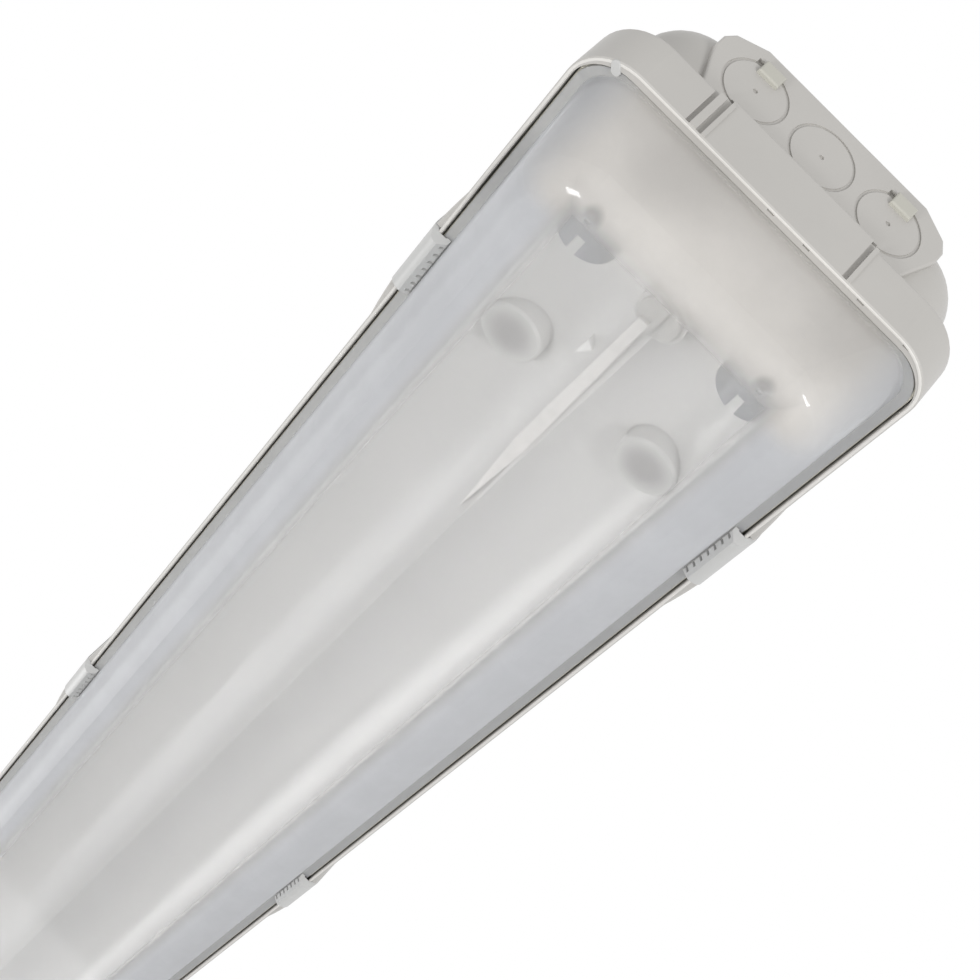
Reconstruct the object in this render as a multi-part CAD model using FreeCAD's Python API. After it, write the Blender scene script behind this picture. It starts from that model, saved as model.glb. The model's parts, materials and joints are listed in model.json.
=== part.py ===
import FreeCAD, Part
import math
import os

# Outdoor ceiling light for two tubular lamps: a moulded tub with a skirted rim, a clear drawn cover
# held by side clips, and a white tray with a ridge between the lamps.
# Millimetres. The origin is the middle of the ceiling face, +X runs along the light, +Z is up.
# Heights named here are counted from the rim, where the tub meets the cover, unless they say otherwise.

V = FreeCAD.Vector
ZERO = V(0, 0, 0)
AX = V(1, 0, 0)
AY = V(0, 1, 0)
AZ = V(0, 0, 1)

# Driving sizes
lamp_gap = 1200.0
holder_setback = 35.0
width = 130.0
tub_height = 46.0
cover_depth = 35.0
wall = 2.5
overrun = 1.0
move_gap = 0.3
fit_gap = 0.1
weld = 0.4

length = lamp_gap + 2 * holder_setback
half_length = length / 2
half_width = width / 2
rim = -tub_height

# Rim skirt and its channel
skirt_height = 17.5
panel_height = 20.2
skirt_corner = 17.0
skirt_round = 1.4
lip_break = 0.4
lip_side = 1.5
lip_end = 3.5
channel_height = 8.0
channel_corner = 14.0
inner_lip_side = 9.5
inner_lip_end = 10.4
inner_lip_wall = 1.5
inner_lip_height = 4.5

# Tub above the skirt
tub_side_step = 7.0
tub_end_step = 4.0
tub_corner = 19.0
shoulder = 15.5

# Hollows that core the skirt from above
core_length = 46.0
core_web = 4.0
core_side = 2.0
core_width = 3.6
core_depth = 7.0
core_margin = 12.0

# Grooves and ribs of the end panels, given as places across the light
groove_depth = 1.3
rib_proud = 0.4
groove_left = (-32.6, -31.2)
groove_middle = (-28.8, -27.0)
groove_right = (25.6, 27.2)
rib_left = (-31.2, -28.8)
rib_middle = (-27.0, -25.6)
rib_right = (27.2, 28.6)

# Small moulding marks on the lip of each end, given as places across the light
lip_marks = (0.6, 13.8, 34.0, 51.0)
lip_mark_long = 2.4
lip_mark_wide = 0.8
lip_mark_depth = 0.5
lip_mark_inset = 1.2

# End block with its knock-outs
block_recess = 1.8
block_depth = 40.0
block_top_half = 30.6
block_slope_half = 40.0
block_half = 42.2
block_foot_half = 36.7
block_slope_drop = 4.8
block_high_drop = 8.6
block_low_drop = 13.5
block_round = 0.8
knock_r = 10.95
knock_pitch = 25.4
knock_room = 16.2
knock_height = tub_height - knock_room
knock_groove = 1.0
knock_groove_depth = 0.5
knock_skin = 1.6
dimple_r = 0.8
dimple_depth = 0.5
lug_width = 7.2
lug_height = 5.3
lug_proud = 1.6
lug_round = 0.6
lug_root = 1.2
lug_drop = 5.0
lug_place = 25.4
lug_slot = 2.0

# Clips and their seats
clip_count = 4
clip_setback = 115.0
clip_length = 32.0
clip_end_gap = 0.7
clip_plate = 2.0
clip_nose = 1.3
clip_nose_rise = 0.4
clip_reach = 5.2
clip_drop = 3.4
clip_round = 4.6
clip_slant = 2.3
clip_teeth = 7
tooth_pitch = 4.15
tooth_width = 1.3
tooth_depth = 0.8
seat_half = 36.0
seat_proud = 2.0
seat_cut = 0.3
pivot_height = 15.5
pivot_r = 1.1
pivot_long = 2.4
pivot_fit = 0.06
knuckle_r = 2.2

# Cover
flange_recess = 0.4
flange = 2.2
flange_gap_side = 1.1
flange_gap_end = 0.5
root_side = 5.2
root_end = 4.7
root_corner = 12.0
face_corner = 22.0
draft_side = 6.0
draft_end = 5.0
cover_round = 11.0
cover_wall = 2.2

# Foam seal
seal_width = 4.0
seal_end_gap = 0.5
seal_setback = 0.5

# Tray
tray_end = 18.0
tray_room = 15.5
tray_half = half_width - tub_side_step - wall - tray_room
sheet = 0.8
crest_drop = 5.0
trough_rise = 7.0
trough_inset = 20.0
trough_place = tray_half - trough_inset
edge_lip = 1.5
flat_rise = 5.0
flat_length = 24.0
crest_fill_rise = 4.6
crest_cut = 3.1
crest_cut_start = 70.0
crest_cut_end = 190.0

# Quarter-turn fasteners and the posts that take them
turn_setback = 57.0
turn_head_r = 7.25
turn_head = 1.2
turn_break = 0.4
turn_bar = 2.0
turn_bar_proud = 1.6
turn_shank_r = 3.0
turn_shank = 9.6
turn_pin_r = 1.0
turn_pin_half = 4.7
turn_pin_rise = 2.6
turn_pad_r = 8.6
turn_pad = 4.2
post_r = 7.6
post_floor = 2.2

# Lamp holders and their rotors
lamp_inset = 10.0
lamp_place = tray_half - lamp_inset
lamp_drop = 16.5
lamp_r = 13.0
pin_slot = 3.0
holder_thick = 14.0
holder_half = 9.7
holder_drop = 3.0
holder_break = 0.6
holder_foot_x = 8.0
holder_foot_y = 12.0
holder_foot = 7.0
rotor_r = 8.0
rotor_depth = 9.0
rotor_slot_depth = 6.5
contact_r = 2.6

# Starters and their holders
starter_setback = 110.0
starter_inset = 11.5
starter_place = tray_half - starter_inset
starter_r = 10.75
starter_room = 10.0
starter_long = tub_height - starter_room
starter_break = 0.8
starter_turn = 45.0
pin_place = 6.35
pin_r = 1.2
pin_neck = 2.3
pin_head_r = 2.2
pin_head = 1.5
shell_gap = 0.35
shell_wall = 1.5
shell_floor = 1.6
shell_room = 4.0
shell_top = tub_height - shell_room

# Gear above the tray
gear_over = 1.5
gear_half = trough_place + gear_over
ballast_long = 150.0
ballast_high = 27.0
ballast_foot = 12.0
ballast_foot_thick = 1.0
ballast_place = 175.0
ballast_core_inset = 3.0
ballast_core_half = gear_half - ballast_core_inset
ballast_round = 1.5
capacitor_r = 12.5
capacitor_long = 62.0
capacitor_collar = 3.0
capacitor_collar_r = 11.4
terminal_place = 470.0
terminal_long = 18.0
terminal_high = 16.0
terminal_step = 6.0
terminal_edge = 1.0
terminal_hole_r = 1.9
terminal_screw_r = 1.7
terminal_web = 3.6
terminal_room = 2 * (gear_half - terminal_edge)
terminal_poles = int(terminal_room / (2 * terminal_hole_r + terminal_web))
terminal_pitch = terminal_room / terminal_poles
harness_r = 1.9
harness_gap = 1.1
harness_place = gear_half + harness_gap + harness_r
harness_bend = 8.0
earth_place = 40.0
earth_r = 4.0
earth_nut_r = 3.6
earth_nut = 3.0
earth_washer = 1.0
strap_place = 300.0
strap_wide = 9.0
strap_thick = 1.0
strap_gap = 2.6
strap_start = harness_place + harness_r + strap_gap
strap_sink = 0.4
strap_sag = 3.0
strap_in = 6.0
peg_height = 16.0
peg_thick = 4.0
peg_wide = 14.0

# Ceiling brackets
bracket_place = 440.0
bracket_wide = 36.0
bracket_thick = 1.2
bracket_flank = 6.5
slot_long = 16.0
slot_wide = 5.5
screw_room_x = 24.0
screw_room_y = 14.0
screw_room = 8.0


def box(x0, x1, y0, y1, z0, z1):
    corner = V(min(x0, x1), min(y0, y1), min(z0, z1))
    return Part.makeBox(abs(x1 - x0), abs(y1 - y0), abs(z1 - z0), corner)


def prism(points, depth):
    # Closed outline of straight runs, pushed along depth.
    wire = Part.makePolygon(points + [points[0]])
    return Part.Face(wire).extrude(depth)


def fuse(shapes):
    return shapes[0].multiFuse(shapes[1:]).removeSplitter()


def compound(shapes):
    return Part.makeCompound(shapes)


def turned(shape, angle=180.0):
    copy = shape.copy()
    copy.rotate(ZERO, AZ, angle)
    return copy


def at_both_ends(shapes):
    return shapes + [turned(shape) for shape in shapes]


def mirrored(shape):
    return shape.mirror(ZERO, AY)


def ring_edges(half_x, half_y, radius, z):
    # Edges of a rectangle with round corners, lying flat at height z.
    dx = half_x - radius
    dy = half_y - radius
    turn = radius * math.sqrt(0.5)
    edges = []
    corners = [(1, 1), (-1, 1), (-1, -1), (1, -1)]
    ends = []
    for sx, sy in corners:
        along = V(sx * half_x, sy * dy, z)
        across = V(sx * dx, sy * half_y, z)
        first, last = (along, across) if sx * sy > 0 else (across, along)
        middle = V(sx * (dx + turn), sy * (dy + turn), z)
        ends.append((first, middle, last))
    for number, (first, middle, last) in enumerate(ends):
        edges.append(Part.Arc(first, middle, last).toShape())
        following = ends[(number + 1) % len(ends)][0]
        edges.append(Part.LineSegment(last, following).toShape())
    return edges


def ring(half_x, half_y, radius, z):
    return Part.Wire(ring_edges(half_x, half_y, radius, z))


def slab(half_x, half_y, radius, z0, z1):
    return Part.Face(ring(half_x, half_y, radius, z0)).extrude(V(0, 0, z1 - z0))


def edges_at(shape, z):
    # Edges that lie whole in the level z.
    near = overrun / 1000
    found = []
    for edge in shape.Edges:
        span = edge.BoundBox
        if abs(span.ZMin - z) < near and abs(span.ZMax - z) < near:
            found.append(edge)
    return found


def circle_through(a, b, c):
    # Centre and radius of the circle through three points of the plane across the light.
    ax, ay = a
    bx, by = b
    cx, cy = c
    d = 2 * (ax * (by - cy) + bx * (cy - ay) + cx * (ay - by))
    aa = ax * ax + ay * ay
    bb = bx * bx + by * by
    cc = cx * cx + cy * cy
    ux = (aa * (by - cy) + bb * (cy - ay) + cc * (ay - by)) / d
    uy = (aa * (cx - bx) + bb * (ax - cx) + cc * (bx - ax)) / d
    return ux, uy, math.hypot(ax - ux, ay - uy)


def clip_places():
    pitch = (length - 2 * clip_setback) / (clip_count - 1)
    return [half_length - clip_setback - number * pitch for number in range(clip_count)]


# Rim skirt

def skirt_outline(z):
    # The long sides swell gently at each clip, so each swelling is one arc.
    dx = half_length - skirt_corner
    dy = half_width - skirt_corner
    turn = skirt_corner * math.sqrt(0.5)
    points = []
    for side in (1, -1):
        start = V(side * half_length, side * dy, z)
        middle = V(side * (dx + turn), side * (dy + turn), z)
        end = V(side * dx, side * half_width, z)
        points.append(("arc", start, middle, end))
        for place in sorted(clip_places(), reverse=True):
            x = side * place
            first = V(x + side * seat_half, side * half_width, z)
            peak = V(x, side * (half_width + seat_proud), z)
            last = V(x - side * seat_half, side * half_width, z)
            points.append(("arc", first, peak, last))
        start = V(-side * dx, side * half_width, z)
        middle = V(-side * (dx + turn), side * (dy + turn), z)
        end = V(-side * half_length, side * dy, z)
        points.append(("arc", start, middle, end))
    edges = []
    for number, (kind, first, middle, last) in enumerate(points):
        edges.append(Part.Arc(first, middle, last).toShape())
        following = points[(number + 1) % len(points)][1]
        edges.append(Part.LineSegment(last, following).toShape())
    return Part.Wire(edges)


def skirt():
    solid = Part.Face(skirt_outline(rim)).extrude(V(0, 0, skirt_height))
    solid = solid.makeFillet(skirt_round, edges_at(solid, rim + skirt_height))
    return solid.makeChamfer(lip_break, edges_at(solid, rim))


def end_panel():
    # The middle of each end wall stands a little higher, between the grooves.
    inner = half_length - tub_end_step - wall
    panel = box(inner, half_length, groove_middle[0], groove_right[1], rim + skirt_height / 2, rim + panel_height)
    top = [edge for edge in edges_at(panel, rim + panel_height) if abs(edge.BoundBox.XMin - half_length) < weld]
    return panel.makeFillet(skirt_round, top)


def end_ribs():
    ribs = []
    for y0, y1 in (rib_left, rib_middle, rib_right):
        ribs.append(box(half_length - wall, half_length + rib_proud, y0, y1, rim + lip_break, rim + skirt_height))
    return ribs


def end_grooves():
    cuts = []
    for y0, y1 in (groove_left, groove_middle, groove_right):
        top = rim + panel_height + overrun
        cuts.append(box(half_length - groove_depth, half_length + overrun, y0, y1, rim + lip_break, top))
    return cuts


def lip_notches():
    x1 = half_length - lip_mark_inset
    x0 = x1 - lip_mark_wide
    half = lip_mark_long / 2
    return [box(x0, x1, y - half, y + half, rim - overrun, rim + lip_mark_depth) for y in lip_marks]


# Tub

def tub_block(inset, z0, corner, round_top):
    half_x = half_length - tub_end_step - inset
    half_y = half_width - tub_side_step - inset
    top = -inset
    solid = slab(half_x, half_y, corner, z0, top)
    return solid.makeFillet(round_top, edges_at(solid, top))


def end_block():
    # Eight-sided block that carries the knock-outs, flush with the ceiling face.
    x = half_length - block_recess
    outline = [
        (block_top_half, 0),
        (block_slope_half, -block_slope_drop),
        (block_half, -block_high_drop),
        (block_half, -block_low_drop),
        (block_foot_half, rim + skirt_height - overrun),
    ]
    points = [V(x, y, z) for y, z in outline]
    points += [V(x, -y, z) for y, z in reversed(outline)]
    solid = prism(points, V(-block_depth, 0, 0))
    face_edges = [edge for edge in solid.Edges if edge.BoundBox.XMin > x - weld]
    return solid.makeFillet(block_round, face_edges)


def knock_outs():
    # Ring groove and centre mark outside, a pocket inside that leaves a thin skin.
    x = half_length - block_recess
    inner = half_length - tub_end_step - wall
    cuts = []
    for number in (-1, 0, 1):
        centre = V(x + overrun, number * knock_pitch, rim + knock_height)
        outer = Part.makeCylinder(knock_r, knock_groove_depth + overrun, centre, -AX)
        core = Part.makeCylinder(knock_r - knock_groove, knock_groove_depth + 2 * overrun, centre, -AX)
        cuts.append(outer.cut(core))
        cuts.append(Part.makeCylinder(dimple_r, dimple_depth + overrun, centre, -AX))
        behind = V(x - knock_skin, centre.y, centre.z)
        cuts.append(Part.makeCylinder(knock_r, x - knock_skin - inner + overrun, behind, -AX))
    return cuts


def lug_solid(place):
    # Small snap block over an outer knock-out.
    x = half_length - block_recess
    top = -lug_drop
    half = lug_width / 2
    solid = box(x - lug_root, x + lug_proud, place - half, place + half, top - lug_height, top)
    outer = [edge for edge in solid.Edges if edge.BoundBox.XMin > x + lug_proud - weld]
    return solid.makeFillet(lug_round, outer)


def lug_places():
    return (-lug_place, lug_place)


def lug_pockets():
    cuts = []
    x = half_length - block_recess
    for place in lug_places():
        half = lug_width / 2
        top = -lug_drop
        cuts.append(box(x - lug_root, x + overrun, place - half, place + half, top - lug_height, top))
        slot = place - half - lug_slot
        cuts.append(box(x - lug_root, x + overrun, slot, place - half, top - lug_height / 2, top))
    return cuts


def skirt_cores():
    # Pockets from above between the clip seats, with a web between neighbours.
    y0 = half_width - core_side - core_width
    y1 = half_width - core_side
    top = rim + skirt_height
    places = [half_length] + clip_places() + [-half_length]
    cuts = []
    for upper, lower in zip(places[:-1], places[1:]):
        start = upper - (tub_corner + core_margin if upper == half_length else clip_length / 2 + core_margin)
        end = lower + (tub_corner + core_margin if lower == -half_length else clip_length / 2 + core_margin)
        room = start - end
        count = int((room + core_web) // (core_length + core_web))
        used = count * (core_length + core_web) - core_web
        first = end + (room - used) / 2
        for number in range(count):
            x0 = first + number * (core_length + core_web)
            for side in (1, -1):
                cuts.append(box(x0, x0 + core_length, side * y0, side * y1, top - core_depth, top + overrun))
    return cuts


def clip_seats():
    cuts = []
    half = clip_length / 2 + clip_end_gap
    face = half_width - seat_cut
    for place in clip_places():
        for side in (1, -1):
            outer = half_width + seat_proud + overrun
            cuts.append(box(place - half, place + half, side * face, side * outer, rim - overrun, rim + panel_height))
            start = V(place - half, side * pivot_y(), rim + pivot_height)
            cuts.append(Part.makeCylinder(knuckle_r + move_gap, 2 * half, start, AX))
            hole = V(place - half - pivot_long - overrun / 2, side * pivot_y(), rim + pivot_height)
            deep = 2 * (half + pivot_long) + overrun
            cuts.append(Part.makeCylinder(pivot_r + pivot_fit, deep, hole, AX))
    return cuts


def pivot_y():
    return half_width - seat_cut + move_gap / 2


def posts():
    # Hollow posts under the back that take the tray's quarter-turn fasteners.
    solids = []
    for side in (1, -1):
        foot = V(side * (half_length - turn_setback), 0, rim + post_base())
        solids.append(Part.makeCylinder(post_r, tub_height - wall - post_base() + weld, foot, AZ))
    return solids


def post_base():
    return turn_pad - crest_drop + crest_cut


def post_bores():
    # A bore, a keyway for the cross pin, and a round room in which the pin turns.
    cuts = []
    base = rim + post_base()
    level = base + turn_pin_rise
    reach = turn_pin_half + move_gap + fit_gap
    slot = turn_pin_r + move_gap / 2
    room = turn_pin_r + move_gap
    for side in (1, -1):
        x = side * (half_length - turn_setback)
        foot = V(x, 0, base - overrun)
        cuts.append(Part.makeCylinder(turn_shank_r + move_gap, turn_shank + overrun, foot, AZ))
        cuts.append(box(x - slot, x + slot, -reach, reach, base - overrun, level + room))
        cuts.append(Part.makeCylinder(reach, 2 * room, V(x, 0, level - room), AZ))
    return cuts


def bracket_profile(inset):
    # Section of the tub at the back, from the ceiling face round the shoulders.
    half = half_width - tub_side_step - inset
    radius = shoulder - inset
    return half, radius


def shoulder_face(inset, low, x):
    half, radius = bracket_profile(inset)
    turn = radius * math.sqrt(0.5)
    top = -inset
    dy = half - radius
    dz = top - radius
    points = [V(x, -half, low), V(x, -half, dz)]
    left = Part.Arc(V(x, -half, dz), V(x, -dy - turn, dz + turn), V(x, -dy, top)).toShape()
    right = Part.Arc(V(x, dy, top), V(x, dy + turn, dz + turn), V(x, half, dz)).toShape()
    edges = [
        Part.LineSegment(points[0], points[1]).toShape(),
        left,
        Part.LineSegment(V(x, -dy, top), V(x, dy, top)).toShape(),
        right,
        Part.LineSegment(V(x, half, dz), V(x, half, low)).toShape(),
        Part.LineSegment(V(x, half, low), V(x, -half, low)).toShape(),
    ]
    return Part.Face(Part.Wire(edges))


def bracket_band(place):
    start = place - bracket_wide / 2
    low = -shoulder - bracket_flank
    outer = shoulder_face(0, low, start).extrude(V(bracket_wide, 0, 0))
    inner = shoulder_face(bracket_thick, low - overrun, start - overrun)
    return outer.cut(inner.extrude(V(bracket_wide + 2 * overrun, 0, 0)))


def ceiling_bracket(place):
    # Sprung steel band with a slot for the ceiling screw and turned-in feet.
    band = bracket_band(place)
    half = slot_long / 2 - slot_wide / 2
    slot = box(place - half, place + half, -slot_wide / 2, slot_wide / 2, -bracket_thick - overrun, overrun)
    ends = []
    for side in (1, -1):
        foot = V(place + side * half, 0, -bracket_thick - overrun)
        ends.append(Part.makeCylinder(slot_wide / 2, bracket_thick + 2 * overrun, foot, AZ))
    return band.cut(fuse([slot] + ends))


def screw_rooms():
    # Sunk rooms in the back for the heads of the ceiling screws.
    walls = []
    cuts = []
    for place in (bracket_place, -bracket_place):
        hx = screw_room_x / 2
        hy = screw_room_y / 2
        walls.append(box(place - hx - wall, place + hx + wall, -hy - wall, hy + wall, -screw_room - wall, -wall / 2))
        cuts.append(box(place - hx, place + hx, -hy, hy, -screw_room, overrun))
    return walls, cuts


def strap_pegs():
    solids = []
    y1 = half_width - tub_side_step - wall + weld
    y0 = y1 - strap_in
    for side in (1, -1):
        x = side * strap_place
        z0 = rim + peg_height
        solids.append(box(x - peg_wide / 2, x + peg_wide / 2, y0, y1, z0, z0 + peg_thick))
    return solids


def housing():
    shelf_top = rim + channel_height + wall
    outer = fuse([skirt(), tub_block(0, rim + channel_height, tub_corner, shoulder)])
    outer = fuse([outer] + at_both_ends([end_block(), end_panel()] + end_ribs()))
    cavity = tub_block(wall, shelf_top, tub_corner - wall, shoulder - wall)
    mouth_x = half_length - inner_lip_end
    mouth_y = half_width - inner_lip_side
    mouth_r = tub_corner - inner_lip_wall
    mouth = slab(mouth_x, mouth_y, mouth_r, rim - overrun, shelf_top + overrun)
    channel = slab(half_length - lip_end, half_width - lip_side, channel_corner, rim - overrun, rim + channel_height)
    island_x = mouth_x + inner_lip_wall
    island_y = mouth_y + inner_lip_wall
    island_r = mouth_r + inner_lip_wall
    island = slab(island_x, island_y, island_r, rim + inner_lip_height, rim + channel_height + overrun)
    shell = outer.cut(cavity)
    walls, rooms = screw_rooms()
    shell = fuse([shell] + posts() + walls + strap_pegs())
    cuts = [mouth, channel.cut(island)]
    cuts += at_both_ends(knock_outs() + end_grooves() + lug_pockets() + lip_notches())
    cuts += skirt_cores() + clip_seats() + post_bores() + rooms
    cuts += [bracket_band(bracket_place), bracket_band(-bracket_place)]
    return shell.cut(cuts).removeSplitter()


# Clips

def clip_section():
    # Outline across the light, from the knuckle down the outside and in under the rim.
    inner = half_width - seat_cut + move_gap
    outer = inner + clip_plate
    low = -clip_drop
    high = -move_gap
    tip = half_width - clip_reach
    nose = tip + clip_nose
    top = pivot_height
    bend = clip_round
    turn = math.sqrt(0.5)
    rise = clip_nose_rise

    def at(y, h):
        return V(0, y, rim + h)

    knuckle_in = at(pivot_y() - knuckle_r, top)
    knuckle_top = at(pivot_y(), top + knuckle_r)
    knuckle_out = at(pivot_y() + knuckle_r, top)
    edges = [
        Part.Arc(knuckle_in, knuckle_top, knuckle_out).toShape(),
        Part.LineSegment(knuckle_out, at(outer, top - knuckle_r)).toShape(),
        Part.LineSegment(at(outer, top - knuckle_r), at(outer, low + bend)).toShape(),
    ]
    centre_y = outer - bend
    centre_h = low + bend
    edges.append(Part.Arc(at(outer, centre_h), at(centre_y + bend * turn, centre_h - bend * turn),
                          at(centre_y, low)).toShape())
    edges.append(Part.LineSegment(at(centre_y, low), at(tip, high - clip_plate / 2)).toShape())
    edges.append(Part.LineSegment(at(tip, high - clip_plate / 2), at(tip, high + rise)).toShape())
    edges.append(Part.LineSegment(at(tip, high + rise), at(nose, high + rise)).toShape())
    edges.append(Part.LineSegment(at(nose, high + rise), at(nose + rise, high)).toShape())
    inner_bend = seat_cut + move_gap
    edges.append(Part.LineSegment(at(nose + rise, high), at(inner - inner_bend, high)).toShape())
    edges.append(Part.LineSegment(at(inner - inner_bend, high), at(inner, high + inner_bend)).toShape())
    edges.append(Part.LineSegment(at(inner, high + inner_bend), at(inner, top - knuckle_r)).toShape())
    edges.append(Part.LineSegment(at(inner, top - knuckle_r), knuckle_in).toShape())
    return Part.Face(Part.Wire(edges))


def clip_end_cut():
    # Trims one end so that the part under the rim is shorter than the side wall.
    half = clip_length / 2
    y = half_width - clip_reach - overrun
    bend_top = rim - clip_drop + clip_round
    slope = clip_slant / clip_round
    points = [
        V(half, y, bend_top),
        V(half + overrun, y, bend_top + overrun / slope),
        V(half + overrun, y, rim - clip_drop - overrun),
        V(half - clip_slant - overrun * slope, y, rim - clip_drop - overrun),
    ]
    return prism(points, V(0, clip_reach + clip_plate + 2 * overrun, 0))


def clip(place, side):
    body = clip_section().extrude(V(clip_length, 0, 0))
    body.translate(V(-clip_length / 2, 0, 0))
    body = body.cut([clip_end_cut(), turned(mirrored(clip_end_cut()))])
    pin_start = V(-clip_length / 2 - pivot_long, pivot_y(), rim + pivot_height)
    pin = Part.makeCylinder(pivot_r, clip_length + 2 * pivot_long, pin_start, AX)
    tip = half_width - clip_reach
    cuts = []
    for number in range(clip_teeth):
        x = (number - (clip_teeth - 1) / 2) * tooth_pitch
        low = rim - clip_drop - overrun
        high = rim - move_gap - clip_plate / 2 + tooth_depth
        cuts.append(box(x - tooth_width / 2, x + tooth_width / 2, tip - overrun, tip + clip_nose, low, high))
    body = fuse([body, pin]).cut(cuts)
    if side < 0:
        body = mirrored(body)
    body.translate(V(place, 0, 0))
    return body


# Cover and seal

def cover():
    # Drawn cover: the corners grow rounder from the rim to the face.
    top = rim + flange_recess + flange
    low = rim - cover_depth

    def draw(inset, z_low, z_high):
        root_x = half_length - root_end - inset
        root_y = half_width - root_side - inset
        face_x = root_x - draft_end
        face_y = root_y - draft_side
        upper = ring(root_x, root_y, root_corner - inset, z_high)
        lower = ring(face_x, face_y, face_corner - inset, z_low)
        solid = Part.makeLoft([upper, lower], True, True)
        return solid.makeFillet(cover_round - inset, edges_at(solid, z_low))

    outside = draw(0, low, top)
    inside = draw(cover_wall, low + cover_wall, top)
    mouth_x = half_length - root_end - cover_wall
    mouth_y = half_width - root_side - cover_wall
    mouth = slab(mouth_x, mouth_y, root_corner - cover_wall, top - weld / 2, top + overrun)
    edge_x = half_length - lip_end - flange_gap_end
    edge_y = half_width - lip_side - flange_gap_side
    edge_r = channel_corner - flange_gap_side
    plate = slab(edge_x, edge_y, edge_r, rim + flange_recess, top)
    return fuse([plate, outside]).cut([inside, mouth])


def seal():
    # Foam strip in the channel, resting on the cover's flange.
    top = rim + channel_height
    low = rim + flange_recess + flange
    out_x = half_length - lip_end - seal_end_gap
    out_y = half_width - lip_side - seal_setback
    out_r = channel_corner - seal_setback
    strip = slab(out_x, out_y, out_r, low, top)
    in_r = root_corner
    end_width = inner_lip_end - inner_lip_wall - lip_end - 2 * seal_end_gap
    hollow = slab(out_x - end_width, out_y - seal_width, in_r - inner_lip_wall, low - overrun, top + overrun)
    return strip.cut(hollow)


# Tray

def trough_circle():
    return circle_through((0, -crest_drop), (trough_place, trough_rise), (tray_half, 0))


def trough_height(y, grow=0.0):
    # Height over the rim of the trough's face, or of the face grown by the sheet.
    cy, ch, radius = trough_circle()
    radius += grow
    return ch + math.sqrt(max(radius * radius - (abs(y) - cy) ** 2, 0))


def trough_arc(side, y0, y1, grow, x):
    middle = (y0 + y1) / 2
    ends = [V(x, side * y, rim + trough_height(y, grow)) for y in (y0, middle, y1)]
    return Part.Arc(*ends).toShape()


def trough_face(x):
    # Section of the sheet: two troughs, a sharp crest and a small lip at each edge.
    low = rim - edge_lip
    out = tray_half + sheet
    edges = []
    edges.append(trough_arc(1, 0, tray_half, 0, x))
    right = [V(x, tray_half, rim + trough_height(tray_half)), V(x, tray_half, low), V(x, out, low)]
    cy, ch, radius = trough_circle()
    top_edge = rim + trough_height(tray_half, sheet)
    right += [V(x, out, top_edge), V(x, tray_half, top_edge)]
    for first, last in zip(right[:-1], right[1:]):
        edges.append(Part.LineSegment(first, last).toShape())
    edges.append(trough_arc(1, tray_half, 0, sheet, x))
    edges.append(trough_arc(-1, 0, tray_half, sheet, x))
    left = [V(point.x, -point.y, point.z) for point in reversed(right)]
    for first, last in zip(left[:-1], left[1:]):
        edges.append(Part.LineSegment(first, last).toShape())
    edges.append(trough_arc(-1, tray_half, 0, 0, x))
    return Part.Face(Part.Wire(edges))


def under_trough(x0, x1, grow, low):
    # All that lies below the troughs' face, used to trim what sits on the sheet.
    out = tray_half + sheet
    top = rim + trough_height(tray_half, grow)
    edges = [
        trough_arc(1, 0, tray_half, grow, x0),
        Part.LineSegment(V(x0, tray_half, top), V(x0, out, top)).toShape(),
        Part.LineSegment(V(x0, out, top), V(x0, out, low)).toShape(),
        Part.LineSegment(V(x0, out, low), V(x0, -out, low)).toShape(),
        Part.LineSegment(V(x0, -out, low), V(x0, -out, top)).toShape(),
        Part.LineSegment(V(x0, -out, top), V(x0, -tray_half, top)).toShape(),
        trough_arc(-1, tray_half, 0, grow, x0),
    ]
    return Part.Face(Part.Wire(edges)).extrude(V(x1 - x0, 0, 0))


def crest_filler():
    # Solid core inside the end of the crest, so that the crest can be cut back to a flat.
    x1 = half_length - tray_end - flat_length
    x0 = half_length - crest_cut_end - trough_place
    top = rim - crest_drop + crest_fill_rise
    half = trough_place / 2
    block = box(x0, x1, -half, half, rim - crest_drop - overrun, top)
    return block.cut(under_trough(x0 - overrun, x1 + overrun, 0, rim - tub_height))


def crest_wedge():
    # What is cut from the crest: level at the end, then rising to nothing.
    low = rim - crest_drop - overrun
    x_end = half_length - tray_end
    x_near = half_length - crest_cut_start
    x_far = half_length - crest_cut_end
    cut_z = rim - crest_drop + crest_cut
    points = [
        V(x_end, 0, low),
        V(x_end, 0, cut_z),
        V(x_near, 0, cut_z),
        V(x_far, 0, rim - crest_drop),
        V(x_far, 0, low),
    ]
    half = trough_place / 2
    for point in points:
        point.y = -half
    return prism(points, V(0, 2 * half, 0))


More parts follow.
